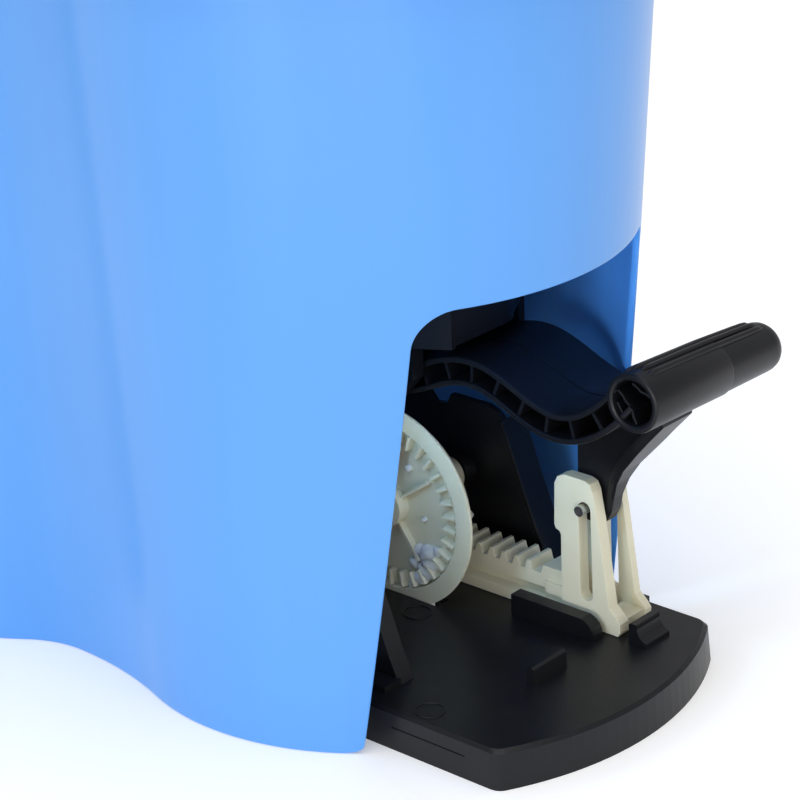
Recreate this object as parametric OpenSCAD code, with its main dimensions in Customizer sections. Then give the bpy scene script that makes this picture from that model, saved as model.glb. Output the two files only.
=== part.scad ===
// Pedal-driven spin mop bucket: two-lobe bucket, spinner basket and the gear drive under it.
// Millimetres. Z is up from the floor, +X points at the pedal end, +Y is the rack side.
// The spinner turns about the Z axis through the origin.

/* [Bucket] */
// Bottom radius of the lobe that holds the spinner
spin_radius = 105; // [103:1:112]
// Bottom radius of the washing lobe
wash_radius = 120; // [112:1:126]
// Height of the rim above the floor
bucket_height = 333; // [330:1:344]
// Outward lean of the walls, millimetres per millimetre of height
wall_draft = 0.052; // [0.045:0.001:0.06]
// Thickness of the moulded wall
wall = 3; // [2.4:0.1:3.4]
// Half width of the waist between the lobes at the bottom
waist_half = 90; // [84:1:94]
// Underside height of the raised floor below the spinner
spin_floor = 193; // [193:1:196]
// Underside height of the wash lobe's floor
wash_floor = 12; // [8:1:20]
// How far the rim's flange stands out from the wall
rim_flange = 9; // [6:0.5:10]

/* [Pedal opening] */
// Half width of the opening at the floor
opening_half_low = 81; // [79:0.5:84]
// Half width of the opening at its top
opening_half_top = 70; // [66:0.5:76]
// Height of the opening's top edge
opening_height = 190; // [184:1:191]
// Corner radius of the opening's top corners
opening_corner = 15; // [8:1:24]

/* [Base plate] */
// Height of the base plate
plate_height = 17; // [15:0.5:17]
// Half width of the base plate
plate_half = 71.5; // [70:0.5:74]
// Where the plate's straight sides end
plate_side_end = 127; // [124:1:132]
// How far the plate's front edge bows out beyond its sides
plate_bulge = 20; // [14:1:24]

/* [Gear train] */
// Height of the crown gear's axle
axle_z = 57; // [56.5:0.5:57]
// Radius of the crown gear's rim
crown_radius = 46.5; // [44:0.5:46.5]
// Teeth on the crown gear
crown_teeth = 34; // [34:1:34]
// Teeth on the vertical pinion
pinion_teeth = 12; // [12:1:12]
// Tooth module of the crown gear and the vertical pinion
crown_module = 2; // [2:0.1:2]
// Tooth module of the rack and its gear
rack_module = 2.2; // [2.2:0.1:2.2]
// Teeth a full turn of the rack's gear would have
rack_gear_teeth = 20; // [20:1:20]
// Gap left between the rack's and its gear's flanks
backlash = 0.55; // [0.5:0.05:0.7]
// Gap left between the crown gear's and the vertical pinion's flanks
crown_backlash = 1; // [0.9:0.05:1.1]

/* [Pedal] */
// Pivot position along X
pivot_x = -4; // [-5:0.5:-3]
// Pivot height
pivot_z = 113; // [112.5:0.5:113.5]
// Drive pin position along X with the pedal up
pin_x = 87.5; // [87:0.5:87.5]
// Drive pin height with the pedal up
pin_z = 71; // [70.5:0.5:71]
// How far the pedal swings down, degrees
pedal_stroke = 18; // [15:1:18]
// Foot bar position along X
bar_x = 126; // [124:1:128]
// Foot bar height with the pedal up
bar_z = 134; // [132:1:136]
// Foot bar radius
bar_radius = 12; // [10:0.5:12.5]
// Near edge of the pedal arm, along Y
arm_near = 17.5; // [17.5:0.5:19]
// Far edge of the pedal arm, along Y
arm_far = 70.5; // [69:0.5:71]
// Far end of the foot bar, along Y
bar_far = 109; // [100:1:112]

/* [Fork and rack] */
// Middle of the fork, along Y
fork_mid = 45.5; // [45.5:0.5:46]
// Outside width of the fork
fork_width = 22; // [22:0.5:23]
// Thickness of the fork's near plate
fork_near_plate = 6; // [5:0.1:6]
// Thickness of the fork's far plate
fork_plate = 4; // [3.5:0.1:4.2]
// Drive pin diameter
pin_diameter = 4.6; // [4:0.1:5]

/* [Spinner] */
// Outside radius of the basket's wall at the rim
basket_radius = 97; // [92:1:99]
// Height of the basket's rim
basket_top = 330; // [318:1:330]
// Number of drain slots around the basket
basket_slots = 28; // [16:2:32]
// Diameter of the vertical drive shaft
shaft_diameter = 10; // [9:0.5:10]

/* [Carry handle] */
// Distance from the handle's hinge to its grip
handle_reach = 178; // [150:1:182]
// Radius of the grip
grip_radius = 12; // [10:0.5:13]

/* [Hidden] */
eps = 0.01;
play = 0.35;
fn_big = 144;
fn_mid = 72;
fn_small = 36;
waist_x = -92;
fillet_a = 172;
fillet_b = 48;
wash_x = waist_x - sqrt(pow(wash_radius + fillet_b, 2) - pow(waist_half + fillet_b, 2));
spin_ax = -sqrt(pow(spin_radius + fillet_a, 2) - pow(waist_half + fillet_a, 2));
crown_r = crown_teeth * crown_module / 2;
pinion_r = pinion_teeth * crown_module / 2;
rack_gear_r = rack_gear_teeth * rack_module / 2;
rack_pitch_z = axle_z - rack_gear_r;
pin_arm = sqrt(pow(pin_x - pivot_x, 2) + pow(pivot_z - pin_z, 2));
pin_angle = atan2(pivot_z - pin_z, pin_x - pivot_x);
slot_lean = 1;
slot_bow = 1.2;
rack_travel = pin_arm * (cos(pin_angle) - cos(pin_angle + pedal_stroke)) + slot_lean;
fork_near = fork_mid - fork_width / 2;
fork_far = fork_mid + fork_width / 2;
slot_half = pin_diameter / 2 + play;
deck = plate_height;
hinge_z = bucket_height + 7;
lip_half = waist_half + wall_draft * bucket_height + rim_flange;
cap_z = spin_floor + 43;

// One corner of a rounded polygon's arc, from angle a0 to a1 about c.
function arc(c, r, a0, a1, n) = [for (i = [0:n]) let (a = a0 + (a1 - a0) * i / n) c + r * [cos(a), sin(a)]];

// Direction of the line between the lobe's centre and the waist's fillet centre.
function ang_a() = atan2(waist_half + fillet_a, -spin_ax);
function ang_b() = atan2(waist_half + fillet_b, waist_x - wash_x);

// Near half (y < 0) of the two-lobe outline, grown by d, from the pedal end to the wash end.
function half_outline(d) = concat(
    arc([0, 0], spin_radius + d, 0, -(180 - ang_a()), 30),
    arc([spin_ax, -(waist_half + fillet_a)], fillet_a - d, ang_a(), 90, 6),
    arc([spin_ax, -(waist_half + fillet_b)], fillet_b - d, 90, 180 - ang_b(), 6),
    arc([spin_ax - (waist_x - wash_x), 0], wash_radius + d, -ang_b(), -180, 34));

// Keeps a point only when it differs from the one before it.
function thin(p) = [for (i = [0:len(p) - 1]) if (i == 0 || norm(p[i] - p[i - 1]) > 0.02) p[i]];

// Whole outline, counter-clockwise.
function outline(d) = let (h = thin(half_outline(d)), n = len(h))
    concat([for (i = [n - 1:-1:1]) h[i]], [for (i = [0:n - 2]) [h[i][0], -h[i][1]]]);

// Solid between two equal rings of points at heights z0 and z1.
module loft(p0, z0, p1, z1) {
    n = len(p0);
    pts = concat([for (q = p0) [q[0], q[1], z0]], [for (q = p1) [q[0], q[1], z1]]);
    sides = [for (i = [0:n - 1]) [i, n + i, n + (i + 1) % n, (i + 1) % n]];
    polyhedron(points = pts, convexity = 6,
        faces = concat([[for (i = [0:n - 1]) i]], [[for (i = [n - 1:-1:0]) n + i]], sides));
}

// Drafted two-lobe solid from z0 to z1, grown by d.
module lobes(d, z0, z1) {
    loft(outline(d + wall_draft * z0), z0, outline(d + wall_draft * z1), z1);
}

// Drafted round solid of the spin lobe, grown by d.
module spin_cone(d, z0, z1) {
    translate([0, 0, z0]) cylinder(h = z1 - z0, r1 = spin_radius + d + wall_draft * z0,
        r2 = spin_radius + d + wall_draft * z1, $fn = fn_big);
}

// Cylinder along Y from y0 to y1 centred at x, z.
module ycyl(x, z, y0, y1, r, fn = 48) {
    translate([x, y0, z]) rotate([-90, 0, 0]) cylinder(h = y1 - y0, r = r, $fn = fn);
}

// Cone along Y from radius r0 at y0 to r1 at y1 centred at x, z.
module ycone(x, z, y0, y1, r0, r1, fn = 120) {
    translate([x, y0, z]) rotate([-90, 0, 0]) cylinder(h = y1 - y0, r1 = r0, r2 = r1, $fn = fn);
}

// Flat piece drawn in X and Z, standing from y0 to y1.
module xz(y0, y1) {
    translate([0, y1, 0]) rotate([90, 0, 0]) linear_extrude(y1 - y0) children();
}

// Box given by its two corners.
module box(a, b) {
    translate(a) cube([b[0] - a[0], b[1] - a[1], b[2] - a[2]]);
}

// Screw with a pan head, tip pointing along +Z from the head at the origin.
module screw(d, len, head_d, head_h) {
    translate([0, 0, -head_h]) cylinder(h = head_h, r = head_d / 2, $fn = fn_small);
    translate([0, 0, -eps]) cylinder(h = len, r = d / 2, $fn = fn_small);
}

floor_boss = [[-36, -40], [-36, 66], [16, 62], [13, -40]];
foot_screw = [[-30, -57.5], [40, -57.5], [-30, fork_far + 10.5], [0, fork_far + 10.5]];

// Bucket: drafted walls, raised spin floor, low wash floor, pedal opening, rim and hinge ears.
module bucket() {
    color([0.33, 0.62, 0.93]) difference() {
        union() {
            difference() {
                union() {
                    lobes(0, 0, bucket_height);
                    lobes(rim_flange, bucket_height - 4, bucket_height);
                    lobes(rim_flange, bucket_height - 14, bucket_height - 3.99);
                }
                lobes(-wall, spin_floor + wall, bucket_height + 1);
                difference() {
                    lobes(-wall, wash_floor + wall, spin_floor + wall + 1);
                    spin_cone(0, wash_floor, spin_floor + wall + 2);
                }
                difference() {
                    lobes(-wall, -1, wash_floor);
                    spin_cone(0, -2, wash_floor + 1);
                }
                spin_cone(-wall, -1, spin_floor);
                difference() {
                    lobes(rim_flange - wall, bucket_height - 15, bucket_height - 4);
                    lobes(-eps, bucket_height - 16, bucket_height);
                }
            }
            translate([0, 0, spin_floor + wall - eps]) cylinder(h = 12, r = 16, $fn = fn_mid);
            for (p = floor_boss)
                translate([p[0], p[1], spin_floor - 5]) cylinder(h = 5 + eps, r = 5, $fn = fn_small);
            for (s = [-1, 1]) hinge_ear(s);
        }
        pedal_opening();
        translate([0, 0, spin_floor - 1]) cylinder(h = 30, r = 6.5, $fn = fn_mid);
        translate([0, 0, spin_floor + wall + 4]) cylinder(h = 20, r = 11, $fn = fn_mid);
        for (p = floor_boss)
            translate([p[0], p[1], spin_floor - 6]) cylinder(h = 7, r = 1.62, $fn = fn_small);
        for (s = [-1, 1]) let (y0 = s > 0 ? lip_half - 9 : -lip_half - 1)
            ycyl(waist_x, hinge_z, y0, y0 + 10, 3.1, 36);
    }
}

// Upright ear on the rim for the carry handle's hinge pin.
module hinge_ear(s) {
    y0 = s > 0 ? lip_half - 8 : -lip_half;
    hull() {
        ycyl(waist_x, hinge_z, y0, y0 + 8, 7, 48);
        box([waist_x - 10, y0, bucket_height - 1], [waist_x + 10, y0 + 8, bucket_height + 0.5]);
    }
}

// Tapered opening with rounded top corners, cut towards +X.
module pedal_opening() {
    c = opening_corner;
    ht = opening_height;
    slope = atan((opening_half_low - opening_half_top) / ht);
    yc = opening_half_top + (c * tan(slope)) - c / cos(slope);
    translate([30, 0, 0]) rotate([90, 0, 90]) linear_extrude(150)
        polygon(concat([[-opening_half_low - 0.06, -1], [opening_half_low + 0.06, -1]],
            arc([yc, ht - c], c, slope, 90, 10), arc([-yc, ht - c], c, 90, 180 - slope, 10)));
}

// Plan outline of the base plate, shrunk by d: bowed front, rounded front corners, square back.
function plate_points(d) = let (w = plate_half - d, b = plate_bulge, r = (w * w + b * b) / (2 * b),
    cx = plate_side_end - d + b - r, c = 6, xc = cx + sqrt(pow(r - c, 2) - pow(w - c, 2)),
    a = atan2(w - c, xc - cx)) thin(concat(arc([cx, 0], r, -a, a, 24), arc([xc, w - c], c, a, 90, 5),
    [[0, w], [-spin_radius, w], [-spin_radius, -w], [0, -w]], arc([xc, c - w], c, -90, -a, 5)));

// Trims the base plate's back to the round hollow it sits in, leaving gap d.
module inside_wall(d) {
    difference() {
        children();
        difference() {
            translate([-200, -200, -5]) cube([230, 400, 40]);
            translate([0, 0, -6]) cylinder(h = 42, r = spin_radius - wall - 1.5 - d, $fn = fn_big);
        }
    }
}

// Base plate: hollow tray with rails for the rack, a front stop, screw bosses and the crown gear's slot.
module base_plate() {
    color([0.05, 0.05, 0.06]) difference() {
        union() {
            difference() {
                inside_wall(0) {
                    loft(plate_points(0), 0, plate_points(1), deck - 1.6);
                    loft(plate_points(1), deck - 1.61, plate_points(2.4), deck);
                }
                inside_wall(3.4) translate([0, 0, -1]) linear_extrude(deck - 2.2)
                    polygon(plate_points(3.4));
            }
            for (x = [-60, -20, 20, 60, 100]) box([x - 1.2, -66, 2], [x + 1.2, 66, deck - 1]);
            for (y = [-40, 0, 40]) box([-80, y - 1.2, 2], [124, y + 1.2, deck - 1]);
            xz(25, 31.5) polygon(concat([[56, deck - 1], [56, deck + 9]],
                arc([92, deck + 1], 8, 80, 0, 6), [[100, deck - 1]]));
            xz(59.5, 64) polygon([[57.5, deck - 1], [57.5, deck + 6], [100, deck + 6], [100, deck - 1]]);
            xz(34, 50) polygon(concat([[111.5, deck - 1], [111.5, deck + 8.4], [112.2, deck + 9],
                [115.2, deck + 9]], arc([121.6, deck + 7.6], 6, 170, 260, 6), [[120.8, deck - 1]]));
            xz(-20, 1.5) polygon([[100.5, deck - 1], [101, deck + 7], [102, deck + 8], [103, deck + 8],
                [104, deck + 7], [104.5, deck - 1]]);
            box([-68, 38.5, deck - 1], [-64, 52.5, deck + 15]);
            for (p = foot_screw) translate([p[0], p[1], 4]) cylinder(h = deck - 5, r = 4, $fn = fn_small);
            cylinder(h = deck - 1, r = 10, $fn = fn_mid);
            for (q = [[84, -61], [24, 1]]) translate([q[0], q[1], deck - 1]) difference() {
                cylinder(h = 1.4, r = 6.5, $fn = fn_mid);
                cylinder(h = 2, r = 5.7, $fn = fn_mid);
            }
        }
        box([72, -74, 9.4], [110, 1 - plate_half, 10.3]);
        for (p = foot_screw) translate([p[0], p[1], deck - 6]) cylinder(h = 8, r = 1.62, $fn = fn_small);
        box([-27, 10.3, 8], [27, 18.4, deck + 2]);
    }
}

// Near side plate: inner wall of the gear case with a sloping stiffened front edge.
module near_side_plate() {
    y0 = -53;
    front = [[61, deck], [56, 28], [47.5, 50], [38, 74], [28, 104], [22.8, 135.5]];
    color([0.06, 0.06, 0.07]) difference() {
        union() {
            xz(y0, y0 + 3) polygon(concat([[-46, 150], [-46, deck]], front, [[22, 150]]));
            xz(y0, y0 + 9) polygon(concat(front, [for (i = [len(front) - 1:-1:0]) front[i] - [3, 0]]));
            box([-46, y0 - 9, deck], [61, y0 + 1, deck + 3]);
            ycyl(0, axle_z, y0, y0 + 9, 8.5, 48);
        }
        ycyl(0, axle_z, y0 - 1, y0 + 10, 5, 48);
        for (p = foot_screw) translate([p[0], p[1], deck - 1]) cylinder(h = 6, r = 1.8, $fn = 24);
        for (x = [-38, 14]) ycyl(x, 145, y0 - 1, y0 + 4, 1.8, 24);
    }
}

// Far side plate: low in front of the pedal arm, with a column behind it.
module far_side_plate() {
    y0 = fork_far + 3.5;
    shape = [[-46, deck], [56, deck], [47, 32], [43, 41], [36, 58], [28, 79], [24.5, 86], [21, 89],
        [16, 91], [-5, 91], [-7, 86], [-14, 85], [-20, 92], [-24, 104], [-24, 150], [-42.6, 150],
        [-42.6, 134], [-46, 134]];
    color([0.06, 0.06, 0.07]) difference() {
        union() {
            xz(y0, y0 + 3) polygon(shape);
            xz(y0 - 1.5, y0 + 13) polygon([[56, deck], [47, 32], [43, 41], [36, 58], [28, 79], [24.5, 86],
                [22, 84.5], [25.5, 78], [33.5, 57], [40.5, 40], [44.5, 31], [53, deck]]);
            box([-46, y0 + 1, deck], [10, y0 + 11, deck + 3]);
            ycyl(0, axle_z, y0 - 6, y0 + 3, 8.5, 48);
        }
        ycyl(0, axle_z, y0 - 7, y0 + 4, 5, 48);
        for (p = foot_screw) translate([p[0], p[1], deck - 1]) cylinder(h = 6, r = 1.8, $fn = 24);
        ycyl(-35, 144, y0 - 1, y0 + 4, 1.8, 24);
    }
}

// Plan of the upper gear case: square at the back, bowed front.
module case_plan(d) {
    polygon(concat([[-46 + d, -50 + d], [22 - d, -50 + d], [22 - d, 6 + d], [36 - d, 14 + d]],
        arc([24, 50], 12 - d, 0, 50, 6), arc([14, 67], 12 - d, 30, 90, 6), [[-46 + d, 79 - d]]));
}

// Upper gear case: hood over the pedal arm, cheeks for its pivot and the tower for the shaft's bushings.
module upper_case() {
    top = spin_floor - 5;
    color([0.05, 0.05, 0.06]) difference() {
        union() {
            difference() {
                translate([0, 0, 136]) linear_extrude(top - 136) case_plan(0);
                translate([0, 0, 135]) linear_extrude(top - 138) case_plan(3);
            }
            xz(75, 79) polygon([[-30, 137], [-22, 102], [14, 102], [22, 112], [22, 137]]);
            xz(9, 16) polygon([[-20, top - 1], [-20, 108], [-12, 105.5], [6, 105.5], [18.5, 120],
                [18.5, top - 1]]);
            translate([0, 0, 105.5]) cylinder(h = top - 106, r = 14, $fn = fn_mid);
            for (x = [-38, 14]) ycyl(x, 145, -50, -40, 4.5, 24);
            ycyl(-35, 144, 53.5, fork_far + 3.5, 4.5, 24);
            box([-44, 53.5, 139.5], [-32, 56.5, 150]);
        }
        translate([0, 0, 100]) cylinder(h = 100, r = shaft_diameter / 2 + 1.2, $fn = fn_mid);
        translate([0, 0, 100]) cylinder(h = 14, r = 8, $fn = fn_mid);
        translate([0, 0, top - 9]) cylinder(h = 10, r = 8, $fn = fn_mid);
        ycyl(pivot_x, pivot_z, 10.5, 90, 4.04, 48);
        for (x = [-38, 14]) ycyl(x, 145, -51, -41, 1.47, 24);
        ycyl(-35, 144, 54.5, fork_far + 4, 1.47, 24);
        for (p = floor_boss) translate([p[0], p[1], top - 4]) cylinder(h = 6, r = 2, $fn = 24);
        box([-60, arm_near - 1, 100], [60, 74.5, 137]);
    }
}

// Height of the pedal arm's middle line at x.
function arm_z(x) = x < 86 ? 119.3 + 6.5 * cos(4 * (x - 41)) : 112.8 + 0.018 * pow(x - 86, 2);
function arm_slope(x) = x < 86 ? -6.5 * 4 * (PI / 180) * sin(4 * (x - 41)) : 0.036 * (x - 86);
function arm_pt(x, d) = [x, arm_z(x)] + d / sqrt(1 + pow(arm_slope(x), 2)) * [-arm_slope(x), 1];
function arm_line(d, x0, x1, n) = [for (i = [0:n]) arm_pt(x0 + (x1 - x0) * i / n, d)];

// Pedal lever: waved arm of two skins with ribs, foot bar, and the leg that carries the drive pin.
module pedal() {
    x0 = -3;
    x1 = 121;
    mid = (arm_near + arm_far) / 2;
    color([0.05, 0.05, 0.06]) difference() {
        union() {
            difference() {
                union() {
                    for (q = [[arm_near, arm_far, 6.3, 3.8], [arm_near, arm_far, -3.8, -6.3],
                        [mid - 2, mid + 2, 5, -5]])
                        xz(q[0], q[1])
                            polygon(concat(arm_line(q[2], x0, x1, 40), arm_line(q[3], x1, x0, 40)));
                    for (x = [16.4:13:108]) xz(arm_near + 1, arm_far - 1)
                        polygon([for (q = [[-0.9, -5], [0.9, -5], [0.9, 5], [-0.9, 5]])
                            arm_pt(x + q[0], q[1])]);
                }
                for (q = [[fork_near - 0.8, fork_near_plate + 1.6],
                    [fork_far - fork_plate - 0.8, fork_plate + 1.6]])
                    box([58, q[0], 95], [99.5, q[0] + q[1], 116]);
            }
            ycyl(pivot_x, pivot_z, arm_near, arm_far, 8.4, 48);
            difference() {
                ycyl(bar_x, bar_z, arm_near - 1, bar_far - 6, bar_radius, 64);
                ycyl(bar_x, bar_z, arm_near - 2, bar_far - 14, bar_radius - 2.6, 64);
            }
            ycyl(bar_x, bar_z, arm_near - 1, arm_far - 1, bar_radius + 0.6, 64);
            translate([bar_x, bar_far - 6, bar_z]) rotate([-90, 0, 0])
                cylinder(h = 3, r1 = bar_radius, r2 = bar_radius - 1, $fn = 64);
            translate([bar_x, bar_far - 3, bar_z]) rotate([-90, 0, 0])
                cylinder(h = 3, r1 = bar_radius - 1, r2 = bar_radius - 4, $fn = 64);
            for (a = [-36:18:36]) translate([bar_x, 0, bar_z]) rotate([0, a, 0])
                box([-0.9, arm_near + 5, bar_radius - 1], [0.9, bar_far - 9, bar_radius + 1.5]);
            leg();
        }
        ycyl(bar_x, bar_z, arm_near - 2, bar_far - 14, bar_radius - 2.6, 64);
        ycyl(pivot_x, pivot_z, arm_near - 1, arm_far + 1, 4.1, 48);
        ycyl(pin_x, pin_z, 30, 60, pin_diameter / 2, 36);
    }
    color([0.05, 0.05, 0.06]) for (a = [20, 105]) translate([bar_x, 0, bar_z]) rotate([0, a, 0])
        box([-bar_radius + 2, arm_near + 1.5, -1], [bar_radius - 2, bar_far - 13, 1]);
}

// Leg under the foot bar: a web with a front flange that widens upwards.
module leg() {
    web = [[79, 110], [78.8, 70], [80, 65], [83, 62.4], [89, 62], [93.4, 64.5], [95.8, 69], [97.2, 76],
        [99.6, 83.5], [104, 91], [110.6, 99], [119, 109], [127, 123], [112, 126]];
    edge = [[93.9, 64.2], [96.4, 69], [97.8, 76], [100.2, 83.2], [104.6, 90.6], [111.2, 98.5],
        [119.6, 108.5],
        [127.6, 117.5]];
    back = [[127, 124], [116, 111.5], [107.5, 101.5], [101, 93], [97, 85], [94.6, 76], [92.9, 69.6],
        [91.4, 66.2]];
    xz(fork_mid - 3.2, fork_mid + 3.2) polygon(web);
    intersection() {
        xz(fork_mid - 12, fork_mid + 12) polygon(concat(edge, back));
        translate([140, fork_mid, 0]) rotate([90, 0, -90]) linear_extrude(60)
            polygon([[-4, 55], [4, 55], [4, 76], [6, 86], [10, 102], [11, 130],
                [-11, 130], [-10, 102], [-6, 86], [-4, 76]]);
    }
}

// Steel drive pin across the pedal's leg.
module drive_pin() {
    color([0.7, 0.71, 0.74]) union() {
        ycyl(pin_x, pin_z, fork_near - 3, fork_far + 0.8, pin_diameter / 2, 36);
    }
}

// Straight slot in the fork's plates, wide enough for the pin's bowed path through the stroke.
module pin_slot() {
    w = slot_half + slot_bow / 2;
    top = [pin_x + slot_bow / 2, pin_z];
    foot = [pin_x + slot_bow / 2 + slot_lean, deck + 12 + w];
    xz(fork_near - 1, fork_far + 1)
        polygon(concat(arc(top, w, 0, 180, 12), arc(foot, w, 180, 360, 12)));
}

// Tooth of the rack centred at x.
function rack_tooth(x) = let (m = rack_module, w = PI * m / 4 - backlash / 2, f = m * tan(20))
    [for (q = [[w + 0.95 * f, -1.2], [w - 0.8 * f, 0.8], [0.8 * f - w, 0.8], [-w - 0.95 * f, -1.2]])
        [x + q[0], rack_pitch_z + m * q[1]]];

// Rack and fork, one sliding moulding: a wide toothed bar on a flanged foot, and two slotted plates.
module rack_fork() {
    low = deck + 0.3;
    pitch = PI * rack_module;
    bar_top = rack_pitch_z - 1.1 * rack_module;
    near = fork_near + 3.5;
    far = fork_far - 4;
    plate = [[76, low], [105.5, low], [106.5, 19], [106.5, 23], [104.5, 25.6], [100.8, 29],
        [97.8, 48.5], [95, 67], [92.4, 80], [90.9, 83], [88, 84], [77.5, 84], [74.2, 82.4], [72.6, 79],
        [72.3, 60], [73.1, 58.2],
        [75, 57.5], [75.8, 56]];
    color([0.9, 0.89, 0.8]) difference() {
        union() {
            xz(fork_near, fork_near + fork_near_plate) polygon(plate);
            xz(fork_far - fork_plate, fork_far) polygon(plate);
            box([94, fork_near, low], [105.5, fork_far, low + 6]);
            box([-15, fork_near, low], [80, fork_far, low + 5]);
            box([-15, fork_near + 5.5, low + 4], [76, fork_far - 5.5, low + 10]);
            box([-15, near, low + 9.2], [76, far, bar_top]);
            box([65.5, fork_near + 2, low + 4], [76, fork_far - 2, low + 13]);
            xz(near, far)
                polygon([[61.5, bar_top - 1], [63.2, rack_pitch_z + 1.6], [76, rack_pitch_z + 1.6],
                [76, bar_top - 1]]);
            for (i = [-1:8]) xz(near, far) polygon(rack_tooth(i * pitch));
        }
        pin_slot();
    }
}

// Flat gear outline with straight-flanked teeth.
module gear2d(m, z, gap, phase = 0) {
    r = m * z / 2;
    w = 90 / z - gap / 2 / r * 180 / PI;
    ro = r + 0.92 * m;
    ri = r - 1.25 * m;
    t = 20 / z;
    flank = [[ri, -w - t * 0.6], [r, -w], [ro, -w + t * 1.5], [ro, w - t * 1.5], [r, w],
        [ri, w + t * 0.6]];
    polygon([for (i = [0:z - 1], q = flank) let (a = phase + 360 / z * i + q[1])
        q[0] * [cos(a), sin(a)]]);
}

// Tooth of the crown gear, narrower towards the axle, pointing down from the face.
module crown_tooth() {
    m = crown_module;
    wt = PI * m / 4 - crown_backlash / 2;
    k0 = 1 - 3.2 / crown_r;
    k1 = 1 + 3.6 / crown_r;
    half = [[wt + 0.4, 0.5], [wt, -1.25 * m], [wt - 0.6, -1.9 * m]];
    translate([0, 0, crown_r - 3.2]) linear_extrude(6.8, scale = [k1 / k0, 1])
        polygon(concat([for (q = half) [q[0] * k0, q[1]]],
            [for (i = [2:-1:0]) [-half[i][0] * k0, half[i][1]]]));
}

// Crown gear and the rack's toothed sector, one moulding on a steel axle along Y.
module crown_gear() {
    face = pinion_r + 1.25 * crown_module;
    sector = fork_near + 4;
    color([0.9, 0.89, 0.8]) difference() {
        union() {
            ycyl(0, axle_z, face, face + 3, crown_r + 5, 120);
            difference() {
                union() {
                    ycyl(0, axle_z, face - 3.6, face - 2.4, crown_radius, 120);
                    ycone(0, axle_z, face - 2.41, face + 3, crown_radius, crown_radius - 5);
                }
                ycyl(0, axle_z, face - 5, face + 4, crown_r + 4.3, 120);
            }
            for (i = [0:crown_teeth - 1])
                translate([0, face, axle_z]) rotate([0, 360 / crown_teeth * i, 0]) crown_tooth();
            ycyl(0, axle_z, face - 6, face + 1, 9, 48);
            for (a = [54:90:324])
                translate([0, face, axle_z]) rotate([0, a, 0])
                    box([-0.7, -3, 8], [0.7, 0.5, crown_r - 6.6]);
            ycyl(0, axle_z, face + 2, fork_far - 3.7, 8, 48);
            for (a = [0:60:300])
                translate([0, face + 2, axle_z]) rotate([0, a, 0]) box([-1.2, 0, 6], [1.2, 3, crown_r + 2]);
            intersection() {
                xz(sector, sector + 4) translate([0, axle_z])
                    gear2d(rack_module, rack_gear_teeth, backlash, -90 + 180 / rack_gear_teeth);
                xz(sector - 1, sector + 5) translate([0, axle_z])
                    polygon(concat([[0, 0]], arc([0, 0], 40, -126, -20.5, 6)));
            }
        }
        ycyl(0, axle_z, 0, 60, 3.03, 48);
    }
}

// Steel axle of the crown gear, grooved at both ends for its clips.
module gear_axle() {
    far = fork_far + 3.5 + 3;
    color([0.72, 0.73, 0.75]) difference() {
        ycyl(0, axle_z, -57, far + 4, 3, 48);
        for (y = [-55.2, far + 1.2]) difference() {
            ycyl(0, axle_z, y, y + 1, 5, 36);
            ycyl(0, axle_z, y - 1, y + 2, 2.3, 36);
        }
    }
}

// Snap ring for a groove of radius r.
module clip(r, ro, h) {
    difference() {
        cylinder(h = h, r = ro, $fn = fn_small);
        translate([0, 0, -1]) cylinder(h = h + 2, r = r, $fn = fn_small);
        translate([-r * 0.8, 0, -1]) cube([r * 1.6, ro + 1, h + 2]);
    }
}

// Two snap rings on the gear axle.
module axle_clips() {
    far = fork_far + 3.5 + 3;
    color([0.3, 0.3, 0.32]) for (y = [-55.1, far + 1.3])
        translate([0, y, axle_z]) rotate([-90, 0, 0]) clip(2.32, 5.5, 0.8);
}

// Two flanged bushings that carry the gear axle in the side plates.
module axle_bushings() {
    far = fork_far + 3.5;
    color([0.78, 0.6, 0.32]) difference() {
        union() {
            ycyl(0, axle_z, -53.5, -44, 4.98, 48);
            ycyl(0, axle_z, -54, -53.02, 7, 48);
            ycyl(0, axle_z, far - 6, far + 3.5, 4.98, 48);
            ycyl(0, axle_z, far + 3.02, far + 4, 7, 48);
        }
        ycyl(0, axle_z, -60, 80, 3.06, 48);
    }
}

// Pinion on the vertical shaft, in mesh with the crown gear's face.
module shaft_pinion() {
    z0 = axle_z + crown_r - 5.5;
    color([0.9, 0.89, 0.8]) difference() {
        union() {
            translate([0, 0, z0]) linear_extrude(8.5)
                gear2d(crown_module, pinion_teeth, crown_backlash, 90 + 180 / pinion_teeth);
            translate([0, 0, z0 + 8]) cylinder(h = 5.2, r = 9.5, $fn = fn_mid);
        }
        translate([0, 0, z0 - 1]) intersection() {
            cylinder(h = 20, r = shaft_diameter / 2 + 0.03, $fn = fn_mid);
            translate([-10, -10, 0]) cube([20, 10 + shaft_diameter / 2 - 1, 20]);
        }
    }
}

// Vertical steel drive shaft with a flat at each end and a tapped top.
module drive_shaft() {
    z0 = axle_z + crown_r - 5.5;
    r = shaft_diameter / 2;
    color([0.74, 0.75, 0.78]) difference() {
        translate([0, 0, z0 - 3]) cylinder(h = cap_z - 4 - z0, r = r, $fn = fn_mid);
        box([-10, r - 1.05, z0 - 4], [10, 10, z0 + 13.2]);
        box([-10, r - 1.05, cap_z - 21], [10, 10, cap_z + 5]);
        translate([0, 0, cap_z - 14]) cylinder(h = 20, r = 2.05, $fn = 24);
        translate([0, 0, z0 - 1.6]) difference() {
            cylinder(h = 1, r = r + 1, $fn = 36);
            cylinder(h = 1, r = r - 1, $fn = 36);
        }
    }
}

// Snap ring under the vertical pinion.
module shaft_clip() {
    z0 = axle_z + crown_r - 5.5;
    color([0.3, 0.3, 0.32]) translate([0, 0, z0 - 1.5])
        clip(shaft_diameter / 2 - 0.97, shaft_diameter / 2 + 2.6, 0.8);
}

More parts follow.
